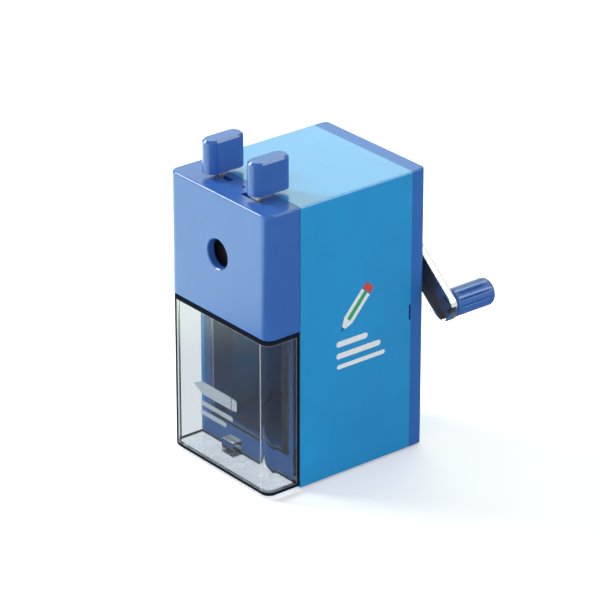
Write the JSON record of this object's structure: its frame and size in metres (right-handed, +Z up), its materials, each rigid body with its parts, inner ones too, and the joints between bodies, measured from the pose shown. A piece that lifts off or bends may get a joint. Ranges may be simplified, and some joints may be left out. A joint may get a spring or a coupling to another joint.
{
  "type": "crank pencil sharpener",
  "caption": "Desktop pencil sharpener with a hand crank, sprung pull-out pencil clamp with squeeze levers, helical cutter in a ring gear and a clear shavings drawer.",
  "frame": {"origin": "centre of the case's footprint on the surface it stands on", "axes": "+Z up, -Y the front where the pencil goes in, +X the right side seen from the front"},
  "size_m": [0.0735, 0.1032, 0.1336],
  "materials": {
    "light_blue_plastic": "glossy moulded",
    "blue_plastic": "glossy moulded",
    "grey_plastic": "matt moulded nylon",
    "smoked_clear_plastic": "clear, smoked",
    "black_rubber": "matt",
    "plated_steel": "zinc plated",
    "spring_steel": "bright drawn wire",
    "chrome_steel": "polished",
    "tool_steel": "ground and hardened",
    "brass": "turned"
  },
  "bodies": {
    "housing": {"body_shell": "light_blue_plastic", "rear_cover": "blue_plastic", "cover_screws": "plated_steel", "chassis": "blue_plastic", "anti_slip_pad": "black_rubber", "gear_housing": "grey_plastic", "gear_housing_screws": "plated_steel", "ring_gear": "grey_plastic", "rear_bearing": "brass", "guide_bushes": "brass", "return_spring_left": "spring_steel", "return_spring_right": "spring_steel"},
    "face_block": {"face_shell": "blue_plastic", "face_back_plate": "blue_plastic", "face_screws": "plated_steel", "guide_rod_left": "plated_steel", "guide_rod_right": "plated_steel", "rod_clips": "spring_steel", "lever_pivot_pin": "plated_steel", "lever_spacer": "brass", "grip_spring": "spring_steel"},
    "left_lever": {"left_grip_plate": "plated_steel", "left_lever_cap": "blue_plastic"},
    "right_lever": {"right_grip_plate": "plated_steel", "right_lever_cap": "blue_plastic"},
    "crank": {"cutter_carrier": "grey_plastic", "cutter_axle": "plated_steel", "drive_shaft": "plated_steel", "shaft_clip": "spring_steel", "hub_collar": "plated_steel", "crank_arm": "chrome_steel", "arm_screw": "plated_steel", "handle_pin": "plated_steel"},
    "handle": {"crank_handle": "blue_plastic"},
    "cutter": {"helical_cutter": "tool_steel", "cutter_pinion": "brass"},
    "drawer": {"shavings_drawer": "smoked_clear_plastic"}
  },
  "joints": [
    {"name": "face_slide", "type": "slide", "parent": "housing", "child": "face_block", "axis": [0, -1, 0], "range_m": [0, 0.034], "stiffness_N_per_m": 60, "springref_m": -0.03, "deforming": ["return_spring_left", "return_spring_right"]},
    {"name": "left_lever_squeeze", "type": "hinge", "parent": "face_block", "child": "left_lever", "pos_m": [0, -0.02695, 0.074], "axis": [0, 1, 0], "range_deg": [0, 5.5], "stiffness_Nm_per_rad": 0.5, "springref_deg": -8.59, "deforming": ["grip_spring"]},
    {"name": "right_lever_squeeze", "type": "hinge", "parent": "face_block", "child": "right_lever", "pos_m": [0, -0.03085, 0.074], "axis": [0, -1, 0], "range_deg": [0, 5.5], "stiffness_Nm_per_rad": 0.5, "springref_deg": -8.59, "deforming": ["grip_spring"]},
    {"name": "crank_turn", "type": "hinge", "parent": "housing", "child": "crank", "pos_m": [0, 0.033, 0.093], "axis": [0, 1, 0], "continuous": true},
    {"name": "handle_spin", "type": "hinge", "parent": "crank", "child": "handle", "pos_m": [0.03754, 0.0547, 0.0615], "axis": [0, 1, 0], "continuous": true},
    {"name": "cutter_spin", "type": "hinge", "parent": "crank", "child": "cutter", "pos_m": [0, -0.01845, 0.103], "axis": [0, 0.9833, -0.1822], "continuous": true},
    {"name": "drawer_slide", "type": "slide", "parent": "housing", "child": "drawer", "axis": [0, -1, 0], "range_m": [0, 0.07]}
  ],
  "couplings": [
    {"joint": "cutter_spin", "follows": "crank_turn", "ratio": -3.2222}
  ]
}
